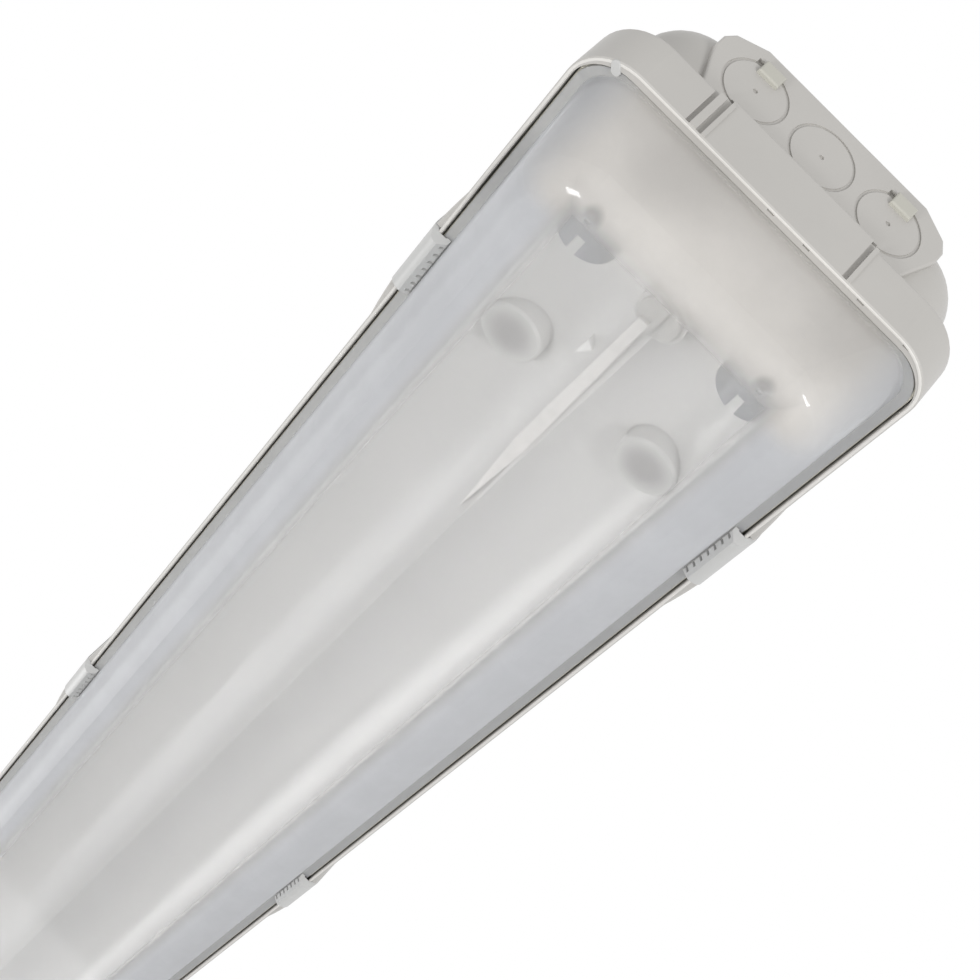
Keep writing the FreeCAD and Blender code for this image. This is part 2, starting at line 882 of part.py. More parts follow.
def tray():
    x_flat = half_length - tray_end - flat_length
    sheet_solid = trough_face(-x_flat).extrude(V(2 * x_flat, 0, 0))
    flats = []
    outer = tray_half + sheet
    base = rim + flat_rise
    x_end = half_length - tray_end
    flats.append(box(x_flat - wall, x_end, -outer, outer, base, base + sheet))
    for side in (1, -1):
        flats.append(box(x_flat - wall, x_end, side * tray_half, side * outer, rim - edge_lip, base + sheet))
    flats.append(box(x_end - sheet, x_end, -outer, outer, rim - edge_lip, base + sheet))
    flats.append(crest_filler())
    solid = fuse([sheet_solid] + at_both_ends(flats))
    solid = solid.cut(at_both_ends([crest_wedge()]))
    pad_z = rim - crest_drop + crest_cut
    pads = []
    cuts = []
    for side in (1, -1):
        place = V(side * (half_length - turn_setback), 0, pad_z)
        pads.append(Part.makeCylinder(turn_pad_r, turn_pad, place, AZ))
        hole = V(place.x, 0, pad_z - overrun)
        cuts.append(Part.makeCylinder(turn_shank_r + fit_gap, turn_pad + 2 * overrun, hole, AZ))
        keyway = turn_pin_r + move_gap / 2
        reach = turn_pin_half + move_gap + fit_gap
        cuts.append(box(place.x - keyway, place.x + keyway, -reach, reach, pad_z - overrun, pad_z + turn_pad + overrun))
        x_foot = side * (lamp_gap / 2 + holder_thick / 2)
        for row in (1, -1):
            hx = holder_foot_x / 2
            hy = holder_foot_y / 2
            y = row * lamp_place
            cuts.append(box(x_foot - hx, x_foot + hx, y - hy, y + hy, base - overrun, base + sheet + overrun))
    solid = fuse([solid] + pads)
    for row in (1, -1):
        foot = V(half_length - starter_setback, row * starter_place, rim - overrun)
        cuts.append(Part.makeCylinder(starter_r + shell_gap, tub_height / 2, foot, AZ))
    return solid.cut(cuts)


# Tray fasteners

def tray_fastener(side):
    # Slotted head below the tray, shank through it and a cross pin in the post.
    x = side * (half_length - turn_setback)
    seat = rim - crest_drop + crest_cut - move_gap
    head = Part.makeCylinder(turn_head_r, turn_head, V(x, 0, seat - turn_head), AZ)
    rim_edges = edges_at(head, seat - turn_head)
    head = head.makeChamfer(turn_break, rim_edges)
    grip_half = turn_head_r - turn_head / 2
    low = seat - turn_head - turn_bar_proud
    grip = box(x - grip_half, x + grip_half, -turn_bar / 2, turn_bar / 2, low, seat - turn_head)
    top = rim + post_base() + turn_shank - 2 * move_gap
    shank = Part.makeCylinder(turn_shank_r, top - seat, V(x, 0, seat), AZ)
    level = rim + post_base() + turn_pin_rise
    pin = Part.makeCylinder(turn_pin_r, 2 * turn_pin_half, V(x - turn_pin_half, 0, level), AX)
    return fuse([head, grip, shank, pin])


# Lamp holders

def holder_outline(x):
    y0 = lamp_place - holder_half
    y1 = lamp_place + holder_half
    top = rim + flat_rise
    low = rim - lamp_drop - holder_drop
    edges = [
        Part.LineSegment(V(x, y1, low), V(x, y1, top)).toShape(),
        Part.LineSegment(V(x, y1, top), V(x, y0, top)).toShape(),
        Part.LineSegment(V(x, y0, top), V(x, y0, low)).toShape(),
        Part.Arc(V(x, y0, low), V(x, lamp_place, low - holder_half), V(x, y1, low)).toShape(),
    ]
    return Part.Face(Part.Wire(edges))


def lamp_holder(end, row):
    # Body with a round seat for the rotor, a pin slot from below and a foot through the tray.
    x = lamp_gap / 2
    axis = rim - lamp_drop
    body = holder_outline(x).extrude(V(holder_thick, 0, 0))
    back = [edge for edge in body.Edges if edge.BoundBox.XMin > x + holder_thick - weld
            and edge.BoundBox.ZMin < rim + flat_rise - weld]
    body = body.makeChamfer(holder_break, back)
    hx = holder_foot_x / 2 - fit_gap
    hy = holder_foot_y / 2 - fit_gap
    middle = x + holder_thick / 2
    base = rim + flat_rise
    foot = box(middle - hx, middle + hx, lamp_place - hy, lamp_place + hy, base, base + holder_foot)
    seat = V(x - overrun, lamp_place, axis)
    room = rotor_depth + fit_gap
    bore = Part.makeCylinder(rotor_r + fit_gap, room + overrun, seat, AX)
    half = pin_slot / 2
    low = axis - holder_drop - holder_half - overrun
    slot = box(x - overrun, x + rotor_slot_depth, lamp_place - half, lamp_place + half, low, axis)
    sight = Part.makeCylinder(contact_r, holder_thick + 2 * overrun, seat, AX)
    body = fuse([body, foot]).cut([bore, slot, sight])
    return placed(body, end, row)


def placed(shape, end, row):
    # Moves a piece modelled at the +X, +Y lamp end to one of the four lamp ends.
    solid = shape
    if row < 0:
        solid = solid.mirror(ZERO, AY)
    if end < 0:
        solid = solid.mirror(ZERO, AX)
    return solid


def lamp_rotor(end, row):
    # Disc that carries the lamp's pins round by a quarter turn.
    x = lamp_gap / 2
    axis = rim - lamp_drop
    seat = V(x, lamp_place, axis)
    disc = Part.makeCylinder(rotor_r, rotor_depth, seat, AX)
    half = pin_slot / 2
    reach = rotor_r + overrun
    slot = box(x - overrun, x + rotor_slot_depth, lamp_place - half, lamp_place + half, axis - reach, axis + reach)
    return placed(disc.cut(slot), end, row)


# Starters

def starter(row):
    # Canister whose closed end shows below the tray, with two headed pins on top.
    x = half_length - starter_setback
    y = row * starter_place
    can = Part.makeCylinder(starter_r, starter_long, V(x, y, rim), AZ)
    can = can.makeChamfer(starter_break, edges_at(can, rim))
    pins = []
    top = rim + starter_long
    for side in (1, -1):
        foot = V(x + side * pin_place, y, top)
        pins.append(Part.makeCylinder(pin_r, pin_neck + weld, foot, AZ))
        head = V(foot.x, y, top + pin_neck)
        pins.append(Part.makeCylinder(pin_head_r, pin_head, head, AZ))
    return fuse([can] + pins)


def starter_holder(row):
    # Shell on the tray's back; its floor has two keyhole slots for the starter's pins.
    x = half_length - starter_setback
    y = row * starter_place
    inner = starter_r + shell_gap
    base = rim + flat_rise - sheet
    top = rim + shell_top
    shell = Part.makeCylinder(inner + shell_wall, top - base, V(x, y, base), AZ)
    plate_z = rim + starter_long + move_gap
    plate_top = plate_z + shell_floor
    room_top = top - shell_wall
    cuts = [Part.makeCylinder(inner, plate_z - base + overrun, V(x, y, base - overrun), AZ)]
    cuts.append(Part.makeCylinder(inner, room_top - plate_top, V(x, y, plate_top), AZ))
    width_half = pin_r + move_gap
    high = shell_floor + 2 * overrun
    level = plate_z - overrun
    for side in (0, 180):
        sector = Part.makeCylinder(pin_place + width_half, high, V(x, y, level), AZ, starter_turn)
        core = Part.makeCylinder(pin_place - width_half, high, V(x, y, level), AZ)
        slot = sector.cut(core)
        slot.rotate(V(x, y, level), AZ, side)
        cuts.append(slot)
        for angle, radius in ((side, width_half), (side + starter_turn, pin_head_r + move_gap)):
            turn = math.radians(angle)
            foot = V(x + pin_place * math.cos(turn), y + pin_place * math.sin(turn), level)
            cuts.append(Part.makeCylinder(radius, high, foot, AZ))
    shell = shell.cut(cuts)
    reach = inner + shell_wall + overrun
    return shell.cut(under_trough(x - reach, x + reach, sheet, rim - tub_height))


# Gear on the tray's back

def gear_base():
    # Level of the troughs' highest line on the back of the sheet.
    cy, ch, radius = trough_circle()
    return rim + ch + radius + sheet


def ballast(place):
    # Wound ballast: pressed case on a foot plate that stands out at both ends.
    base = gear_base()
    half = ballast_long / 2
    foot = box(place - half, place + half, -gear_half, gear_half, base, base + ballast_foot_thick)
    x0 = place - half + ballast_foot
    x1 = place + half - ballast_foot
    top = base + ballast_high
    case = box(x0, x1, -ballast_core_half, ballast_core_half, base + ballast_foot_thick, top)
    case = case.makeFillet(ballast_round, edges_at(case, top))
    cap = box(x0 - ballast_foot / 2, x0, -ballast_core_half / 2, ballast_core_half / 2,
              base + ballast_foot_thick, base + ballast_high / 2)
    return fuse([foot, case, cap])


def capacitor():
    # Canister lying in the valley between the backs of the troughs.
    cy, ch, radius = trough_circle()
    reach = radius + sheet + capacitor_r
    axis = rim + ch + math.sqrt(reach * reach - cy * cy)
    start = V(-capacitor_long / 2, 0, axis)
    can = Part.makeCylinder(capacitor_r, capacitor_long, start, AX)
    cap = V(capacitor_long / 2, 0, axis)
    collar = Part.makeCylinder(capacitor_collar_r, capacitor_collar, cap, AX)
    return fuse([can, collar])


def terminal_block():
    # Stepped block of screw terminals that stands across the tray.
    base = gear_base()
    half = terminal_long / 2
    x = terminal_place
    top = base + terminal_high
    solid = box(x - half, x + half, -gear_half, gear_half, base, top - terminal_step)
    ridge = box(x - half / 2, x + half / 2, -gear_half, gear_half, base, top)
    solid = fuse([solid, ridge])
    cuts = []
    for number in range(terminal_poles):
        y = (number - (terminal_poles - 1) / 2) * terminal_pitch
        level = base + (terminal_high - terminal_step) / 2
        cuts.append(Part.makeCylinder(terminal_hole_r, terminal_long + 2 * overrun, V(x - half - overrun, y, level), AX))
        head = V(x, y, top - terminal_step / 2)
        cuts.append(Part.makeCylinder(terminal_screw_r, terminal_step, head, AZ))
    return solid.cut(cuts)


def bent_tube(points, radius, bend):
    # Tube along straight runs joined by tangent arcs.
    edges = []
    start = points[0]
    for before, corner, after in zip(points[:-2], points[1:-1], points[2:]):
        into = (corner - before).normalize()
        out = (after - corner).normalize()
        angle = into.getAngle(out)
        cut = bend * math.tan(angle / 2)
        first = corner - into * cut
        last = corner + out * cut
        inward = (out - into).normalize()
        middle = corner + inward * (bend / math.cos(angle / 2) - bend)
        edges.append(Part.LineSegment(start, first).toShape())
        edges.append(Part.Arc(first, middle, last).toShape())
        start = last
    edges.append(Part.LineSegment(start, points[-1]).toShape())
    path = Part.Wire(edges)
    heading = (points[1] - points[0]).normalize()
    circle = Part.Wire(Part.makeCircle(radius, points[0], heading))
    return path.makePipeShell([circle], True, False)


def harness(row):
    # Leads on the tray's back: a short run into the starter's holder and a long one to the far lamp holder.
    level = gear_base() + harness_r
    foot_x = lamp_gap / 2 + holder_thick / 2 - holder_foot_x / 2
    starter_x = half_length - starter_setback
    shell = starter_r + shell_gap + shell_wall
    y = row * starter_place
    far_y = row * lamp_place
    short = Part.makeCylinder(harness_r, foot_x - starter_x - shell, V(starter_x + shell, y, level), AX)
    points = [
        V(starter_x - shell, y, level),
        V(starter_x - shell - harness_bend, y, level),
        V(starter_x - shell - 2 * harness_bend, row * harness_place, level),
        V(-foot_x + 2 * harness_bend, row * harness_place, level),
        V(-foot_x + harness_bend, far_y, level),
        V(-foot_x, far_y, level),
    ]
    return compound([short, bent_tube(points, harness_r, harness_bend)])


def earth_terminal():
    # Hexagonal nut and washer on the flat of the tray.
    x = -(half_length - earth_place)
    base = rim + flat_rise + sheet
    washer = Part.makeCylinder(earth_r, earth_washer, V(x, 0, base), AZ)
    points = []
    for number in range(6):
        turn = math.radians(60 * number)
        points.append(V(x + earth_nut_r * math.cos(turn), earth_nut_r * math.sin(turn), base + earth_washer))
    return fuse([washer, prism(points, V(0, 0, earth_nut))])


def tray_strap(side):
    # Flat strap from the tray's back out and up to a peg on the tub's wall.
    x = side * strap_place - strap_wide / 2
    y0 = strap_start
    y1 = half_width - tub_side_step - wall - strap_in / 2
    z1 = rim + peg_height
    z0 = rim + trough_height(y0, sheet) - strap_sink
    middle_y = (y0 + y1) / 2 + strap_sag
    middle_z = z0 + strap_sag
    lean = strap_thick * math.sqrt(0.5)
    inner = [V(x, y0, z0), V(x, middle_y, middle_z), V(x, y1, z1)]
    outer = [V(x, y0, z0 + strap_thick), V(x, middle_y - lean, middle_z + lean), V(x, y1 - strap_thick, z1)]
    edges = [
        Part.Arc(*inner).toShape(),
        Part.LineSegment(inner[2], outer[2]).toShape(),
        Part.Arc(*outer).toShape(),
        Part.LineSegment(outer[0], inner[0]).toShape(),
    ]
    solid = Part.Face(Part.Wire(edges)).extrude(V(strap_wide, 0, 0))
    return solid.cut(under_trough(x - overrun, x + strap_wide + overrun, sheet, rim - tub_height))


# Build

def pieces():
    found = {
        "housing": housing(),
        "diffuser": cover(),
        "gasket": seal(),
        "gear_tray": tray(),
        "end_lugs": compound(at_both_ends([lug_solid(place) for place in lug_places()])),
        "terminal_block": terminal_block(),
        "capacitor": capacitor(),
        "ballast_front": ballast(ballast_place),
        "ballast_rear": ballast(-ballast_place),
        "earth_terminal": earth_terminal(),
        "tray_straps": compound([tray_strap(1), tray_strap(-1)]),
        "ceiling_bracket_front": ceiling_bracket(bracket_place),
        "ceiling_bracket_rear": ceiling_bracket(-bracket_place),
        "tray_fastener_front": tray_fastener(1),
        "tray_fastener_rear": tray_fastener(-1),
    }
    for row, row_name in ((1, "right"), (-1, "left")):
        found["starter_" + row_name] = starter(row)
        found["starter_holder_" + row_name] = starter_holder(row)
        found["wiring_" + row_name] = harness(row)
        for end, end_name in ((1, "front"), (-1, "rear")):
            found["lamp_holder_" + end_name + "_" + row_name] = lamp_holder(end, row)
            found["lamp_rotor_" + end_name + "_" + row_name] = lamp_rotor(end, row)
        for number, place in enumerate(clip_places()):
            found["clip_" + row_name + "_" + str(number + 1)] = clip(place, row)
    return found


os.makedirs("parts", exist_ok=True)
for name, shape in pieces().items():
    if not shape.isValid():
        print("not valid:", name)
    shape.exportStep("parts/" + name + ".step")
    size = shape.BoundBox
    print(name, len(shape.Solids), round(shape.Volume), [round(v, 2) for v in (size.XMin, size.XMax, size.YMin,
          size.YMax, size.ZMin, size.ZMax)])
print("lamp axis", lamp_place, round(rim - lamp_drop, 2), "clips at", [round(place, 2) for place in clip_places()])
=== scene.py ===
import json
import math

import bmesh
import bpy
from mathutils import Matrix, Vector


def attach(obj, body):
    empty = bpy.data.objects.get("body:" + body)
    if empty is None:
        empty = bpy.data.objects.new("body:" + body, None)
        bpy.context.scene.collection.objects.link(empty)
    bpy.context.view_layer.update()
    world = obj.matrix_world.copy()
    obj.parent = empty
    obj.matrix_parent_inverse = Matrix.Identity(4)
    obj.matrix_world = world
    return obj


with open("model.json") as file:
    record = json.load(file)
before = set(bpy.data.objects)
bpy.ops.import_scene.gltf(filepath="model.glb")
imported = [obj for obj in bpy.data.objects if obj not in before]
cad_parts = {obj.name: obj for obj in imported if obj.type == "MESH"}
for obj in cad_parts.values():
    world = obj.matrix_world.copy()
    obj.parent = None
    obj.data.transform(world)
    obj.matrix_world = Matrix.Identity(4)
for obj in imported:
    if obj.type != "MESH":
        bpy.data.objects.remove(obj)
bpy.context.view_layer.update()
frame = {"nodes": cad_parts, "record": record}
nodes = frame["nodes"]
scene = bpy.context.scene
print("frame loaded:", len(nodes), "nodes")

nearby = 1e-7  # two places closer than this, in metres, count as one
bumpDepth = 0.0002
colourKind = "NodeSocketColor"
numberKind = "NodeSocketFloat"


# Short forms for the nodes that the finishes use most

def feed(tree, socket, source):
    # A socket takes what another socket gives, or else a plain value
    if isinstance(source, bpy.types.NodeSocket):
        tree.links.new(source, socket)
    else:
        socket.default_value = source


def mathNode(tree, operation, *sources):
    node = tree.nodes.new("ShaderNodeMath")
    node.operation = operation
    for socket, source in zip(node.inputs, sources):
        feed(tree, socket, source)
    return node.outputs[0]


def mixNode(tree, kind, factor, first, second):
    node = tree.nodes.new("ShaderNodeMix")
    node.data_type = kind
    for label, source in (("Factor", factor), ("A", first), ("B", second)):
        feed(tree, node.inputs[label], source)
    return node.outputs["Result"]


def mixShader(tree, factor, first, second):
    node = tree.nodes.new("ShaderNodeMixShader")
    for socket, source in zip(node.inputs, (factor, first, second)):
        tree.links.new(source, socket)
    return node.outputs[0]


def spanNode(tree, source, span, result=(0.0, 1.0), curve="SMOOTHSTEP"):
    # Carries a value over from one span to another, held at both ends
    node = tree.nodes.new("ShaderNodeMapRange")
    node.interpolation_type = curve
    labels = ("Value", "From Min", "From Max", "To Min", "To Max")
    for label, entry in zip(labels, (source, *span, *result)):
        feed(tree, node.inputs[label], entry)
    return node.outputs["Result"]


def noiseNode(tree, source, scale, detail, roughness=0.5):
    node = tree.nodes.new("ShaderNodeTexNoise")
    labels = ("Vector", "Scale", "Detail", "Roughness")
    for label, entry in zip(labels, (source, scale, detail, roughness)):
        feed(tree, node.inputs[label], entry)
    return node.outputs["Fac"]


def tintNode(tree, colour, value):
    node = tree.nodes.new("ShaderNodeHueSaturation")
    tree.links.new(colour, node.inputs["Color"])
    tree.links.new(value, node.inputs["Value"])
    return node.outputs["Color"]


def bumpNode(tree, height, strength):
    node = tree.nodes.new("ShaderNodeBump")
    node.inputs["Strength"].default_value = strength
    node.inputs["Distance"].default_value = bumpDepth
    tree.links.new(height, node.inputs["Height"])
    return node.outputs["Normal"]


def objectCoords(tree):
    return tree.nodes.new("ShaderNodeTexCoord").outputs["Object"]


def splitCoords(tree, source):
    node = tree.nodes.new("ShaderNodeSeparateXYZ")
    tree.links.new(source, node.inputs[0])
    return node.outputs


def distanceNode(tree, along, across, centre):
    # How far a place lies from an upright axis
    flat = tree.nodes.new("ShaderNodeCombineXYZ")
    tree.links.new(along, flat.inputs["X"])
    tree.links.new(across, flat.inputs["Y"])
    node = tree.nodes.new("ShaderNodeVectorMath")
    node.operation = "DISTANCE"
    tree.links.new(flat.outputs[0], node.inputs[0])
    node.inputs[1].default_value = (*centre, 0.0)
    return node.outputs["Value"]


def newGroup(name, inputs, outputs):
    group = bpy.data.node_groups.new(name, "ShaderNodeTree")
    for label, kind in inputs.items():
        group.interface.new_socket(label, in_out="INPUT", socket_type=kind)
    for label, kind in outputs.items():
        group.interface.new_socket(label, in_out="OUTPUT", socket_type=kind)
    start = group.nodes.new("NodeGroupInput")
    end = group.nodes.new("NodeGroupOutput")
    return group, start.outputs, end.inputs


def groupNode(tree, group, values):
    node = tree.nodes.new("ShaderNodeGroup")
    node.node_tree = group
    for label, value in values.items():
        node.inputs[label].default_value = value
    return node.outputs


def newMaterial(name):
    mat = bpy.data.materials.new(name)
    mat.use_nodes = True
    return mat, mat.node_tree, mat.node_tree.nodes["Principled BSDF"]


# The photo's view and the room round the light

cameraSet = {
    "place": (1.04832, -0.00386, -0.49787),
    "forward": (-0.79123, 0.00633, 0.61148),
    "across": (0.00455, 0.99998, -0.00446),  # the way the light's width runs before the roll
    "roll": 45.0,
    "lens": 84.46,
    "sensor": 36.0,
    "clip": (0.01, 60.0),
}

roomSet = {
    "floorDrop": 2.60,
    "floorSize": 12.0,
    "floorColour": (0.86, 0.86, 0.86),
    "floorRoughness": 0.9,
    "worldColour": (1.0, 1.0, 1.0),
    "worldStrength": 0.64,
}

lampSet = {
    # name: place, aim, size, watts
    "underLeft": ((1.18, -0.89, -2.26), (0.20, 0.0, -0.05), (0.6, 0.5), 19.3),
    "endRight": ((2.05, 1.20, -0.87), (0.55, 0.0, -0.03), (0.6, 0.3), 16.3),
    "farLeft": ((-1.95, -1.10, -0.95), (0.10, 0.0, -0.05), (1.3, 1.0), 13.0),
}


def makeCamera():
    forward = Vector(cameraSet["forward"]).normalized()
    across = Vector(cameraSet["across"])
    across = (across - forward * across.dot(forward)).normalized()
    down = forward.cross(across)
    turn = math.radians(cameraSet["roll"])
    right = across * math.cos(turn) - down * math.sin(turn)
    up = -(across * math.sin(turn) + down * math.cos(turn))
    camData = bpy.data.cameras.new("photoCamera")
    camData.lens = cameraSet["lens"]
    camData.sensor_width = cameraSet["sensor"]
    camData.clip_start, camData.clip_end = cameraSet["clip"]
    cam = bpy.data.objects.new("photoCamera", camData)
    turned = Matrix((right, up, -forward)).transposed().to_4x4()
    cam.matrix_world = Matrix.Translation(Vector(cameraSet["place"])) @ turned
    scene.collection.objects.link(cam)
    scene.camera = cam


def aimLamp(name, place, aim, size, watts):
    lampData = bpy.data.lights.new(name, "AREA")
    lampData.shape = "RECTANGLE"
    lampData.size, lampData.size_y = size
    lampData.energy = watts
    lamp = bpy.data.objects.new(name, lampData)
    turned = (Vector(aim) - Vector(place)).to_track_quat("-Z", "Y").to_matrix().to_4x4()
    lamp.matrix_world = Matrix.Translation(Vector(place)) @ turned
    scene.collection.objects.link(lamp)


def whiteToSight(tree, plain, socket):
    # Pure white where the camera, a reflection or a clear wall looks at it, and plain light elsewhere
    path = tree.nodes.new("ShaderNodeLightPath")
    seen = mathNode(tree, "MAXIMUM", path.outputs["Is Camera Ray"], path.outputs["Is Glossy Ray"])
    seen = mathNode(tree, "MAXIMUM", seen, path.outputs["Is Transmission Ray"])
    tree.links.new(mixNode(tree, "FLOAT", seen, plain, 1.0), socket)


def makeRoom():
    scene.view_settings.view_transform = "Standard"
    world = bpy.data.worlds.new("studio")
    scene.world = world
    world.use_nodes = True
    back = world.node_tree.nodes["Background"]
    back.inputs["Color"].default_value = (*roomSet["worldColour"], 1.0)
    whiteToSight(world.node_tree, roomSet["worldStrength"], back.inputs["Strength"])

    bm = bmesh.new()
    bmesh.ops.create_grid(bm, x_segments=1, y_segments=1, size=roomSet["floorSize"] / 2)
    bmesh.ops.translate(bm, verts=bm.verts, vec=(0.0, 0.0, -roomSet["floorDrop"]))
    floorMesh = bpy.data.meshes.new("floor")
    bm.to_mesh(floorMesh)
    bm.free()
    floor = bpy.data.objects.new("floor", floorMesh)
    scene.collection.objects.link(floor)
    mat, _, shader = newMaterial("paleFloor")
    shader.inputs["Base Color"].default_value = (*roomSet["floorColour"], 1.0)
    shader.inputs["Roughness"].default_value = roomSet["floorRoughness"]
    floorMesh.materials.append(mat)
    for name, (place, aim, size, watts) in lampSet.items():
        aimLamp(name, place, aim, size, watts)


# Moulded plastics

mouldSet = {
    "cloudScale": 22.0,
    "cloudDetail": 5.0,
    "cloudRoughness": 0.6,
    "cloudSpan": (0.3, 0.7),
    "cloudGloss": 0.05,  # how far the clouds move the roughness up and down
    "grainDetail": 2.0,
    "grainBump": 0.5,
    "coatRoughness": 0.25,
}

skinSet = {
    # name: colour, grain scale, grain, cloud, roughness, coat
    "housing_plastic": ((0.520, 0.505, 0.480), 1500.0, 0.10, 0.030, 0.42, 0.10),
    "lug_plastic": ((0.520, 0.510, 0.455), 1500.0, 0.10, 0.030, 0.42, 0.10),
    # lip_light is a painted highlight: paler than the housing, for the lit line along the lip
    "lip_light": ((0.740, 0.722, 0.690), 1500.0, 0.10, 0.030, 0.38, 0.10),
    "clip_plastic": ((0.560, 0.560, 0.550), 1500.0, 0.08, 0.030, 0.38, 0.12),
    # holder_plastic is painted dark and bluish, a painted shade for the holders' shaded faces
    "holder_plastic": ((0.200, 0.216, 0.240), 1800.0, 0.04, 0.020, 0.30, 0.20),
    "rotor_plastic": ((0.100, 0.108, 0.120), 1800.0, 0.04, 0.020, 0.35, 0.10),
    # starter_case is dark: it is the core of the painted shade on the starter caps
    "starter_case": ((0.260, 0.260, 0.257), 1800.0, 0.03, 0.020, 0.35, 0.10),
    "fastener_plastic": ((0.500, 0.498, 0.485), 1800.0, 0.04, 0.020, 0.30, 0.20),
    "terminal_plastic": ((0.700, 0.700, 0.670), 1500.0, 0.06, 0.030, 0.40, 0.05),
    "strap_plastic": ((0.700, 0.700, 0.680), 1500.0, 0.06, 0.030, 0.40, 0.05),
    "wire_jacket": ((0.600, 0.600, 0.590), 2500.0, 0.03, 0.020, 0.45, 0.05),
}


def makeMouldedSkin():
    # Spark texture of moulded plastic, with clouds in its colour and its gloss
    group, start, end = newGroup("mouldedSkin", {
        "Colour": colourKind,
        "Grain Scale": numberKind,
        "Grain": numberKind,
        "Cloud": numberKind,
        "Roughness": numberKind,
    }, {"Colour": colourKind, "Roughness": numberKind, "Height": numberKind})
    coords = objectCoords(group)
    noise = noiseNode(group, coords, mouldSet["cloudScale"], mouldSet["cloudDetail"],
                      mouldSet["cloudRoughness"])
    cloud = spanNode(group, noise, mouldSet["cloudSpan"], (-1.0, 1.0), "LINEAR")
    tone = mathNode(group, "MULTIPLY_ADD", cloud, start["Cloud"], 1.0)
    rough = mathNode(group, "MULTIPLY_ADD", cloud, mouldSet["cloudGloss"], start["Roughness"])
    grain = noiseNode(group, coords, start["Grain Scale"], mouldSet["grainDetail"])
    height = mathNode(group, "MULTIPLY", grain, start["Grain"])
    group.links.new(tintNode(group, start["Colour"], tone), end["Colour"])
    group.links.new(rough, end["Roughness"])
    group.links.new(height, end["Height"])
    return group


def makeSkin(name, group):
    colour, grainScale, grain, cloud, roughness, coat = skinSet[name]
    mat, tree, shader = newMaterial(name + "_finish")
    skin = groupNode(tree, group, {
        "Colour": (*colour, 1.0),
        "Grain Scale": grainScale,
        "Grain": grain,
        "Cloud": cloud,
        "Roughness": roughness,
    })
    tree.links.new(skin["Colour"], shader.inputs["Base Color"])
    tree.links.new(skin["Roughness"], shader.inputs["Roughness"])
    tree.links.new(bumpNode(tree, skin["Height"], mouldSet["grainBump"]), shader.inputs["Normal"])
    shader.inputs["Coat Weight"].default_value = coat
    shader.inputs["Coat Roughness"].default_value = mouldSet["coatRoughness"]
    return mat


starterShadeSet = {
    "axis": (0.525, 0.0285),
    "capShadeSpan": (0.0035, 0.0108),  # painted shade, from the dark core to the pale rim
    "rimColour": (0.560, 0.558, 0.552),
}


def shadeStarter(mat):
    # Painted shade: the cap is painted darker in its middle and pale towards its rim
    tree = mat.node_tree
    base = tree.nodes["Principled BSDF"].inputs["Base Color"]
    core = base.links[0].from_socket
    place = splitCoords(tree, objectCoords(tree))
    across = mathNode(tree, "ABSOLUTE", place["Y"])
    gap = distanceNode(tree, place["X"], across, starterShadeSet["axis"])
    outward = spanNode(tree, gap, starterShadeSet["capShadeSpan"])
    tree.links.new(mixNode(tree, "RGBA", outward, core, (*starterShadeSet["rimColour"], 1.0)), base)


def dress(slot, mat):
    for part in frame["record"]["subparts"]:
        if part["material_slot"] == slot:
            for place in nodes[part["node"]].material_slots:
                place.material = mat


# The drawn cover

coverSet = {
    "faceColour": (0.680, 0.670, 0.655),
    "sideColour": (0.620, 0.627, 0.643),
    "endColour": (0.680, 0.662, 0.638),
    "clearColour": (0.97, 0.97, 0.97),
    "shadowColour": (0.95, 0.95, 0.95),

    # Where one look gives way to the next: heights, and distances from the middle
    "faceSpan": (-0.0798, -0.0710),  # up from the flat face, where the cover is clear
    "flangeSpan": (-0.0468, -0.0452),
    "paintedLightSpan": (-0.0798, -0.0468),
    "endSpan": (0.6142, 0.6247),
    "sideSpan": (0.0340, 0.0425),
    "warmSpan": (0.606, 0.617),  # along, from the cool sides to the warm end
    "cornerSpan": (0.042, 0.058),  # across, from the warm end to the cool corners
    "hazeSpan": (0.480, 0.600),

    # How much milk there is, from none to one
    "clearMilk": 0.18,
    "endHaze": 0.26,  # the face is hazier near the ends, where it was drawn less
    "sideMilk": 0.95,
    "flangeMilk": 0.58,
    "thinShare": 0.45,  # how much of the milk lets light through

    # Thinner milk over the boss of each lamp holder
    "spotCentre": (0.6195, 0.0313),
    "spotSpan": (0.0014, 0.0042),
    "spotMilk": 0.22,

    # The milk's brightness
    "paintedFaceLight": 1.10,  # painted light: paler towards the face than at the root
    # Painted shade: the milk is painted darker on the flange, down beside the lip
    "flangeShade": 0.88,
    "cloudScale": 45.0,
    "cloudDetail": 6.0,
    "cloudRoughness": 0.65,
    "cloudSpan": (0.35, 0.70),
    "cloudTone": (0.975, 1.025),

    # Gloss of the clear plastic and, from the sides to the ends, of the milk's coat
    "blur": 0.15,
    "ior": 1.06,
    "clearGloss": 0.03,
    "milkRoughness": 0.45,
    "milkGloss": (0.36, 0.04),
    "milkCoat": (0.15, 0.80),
}


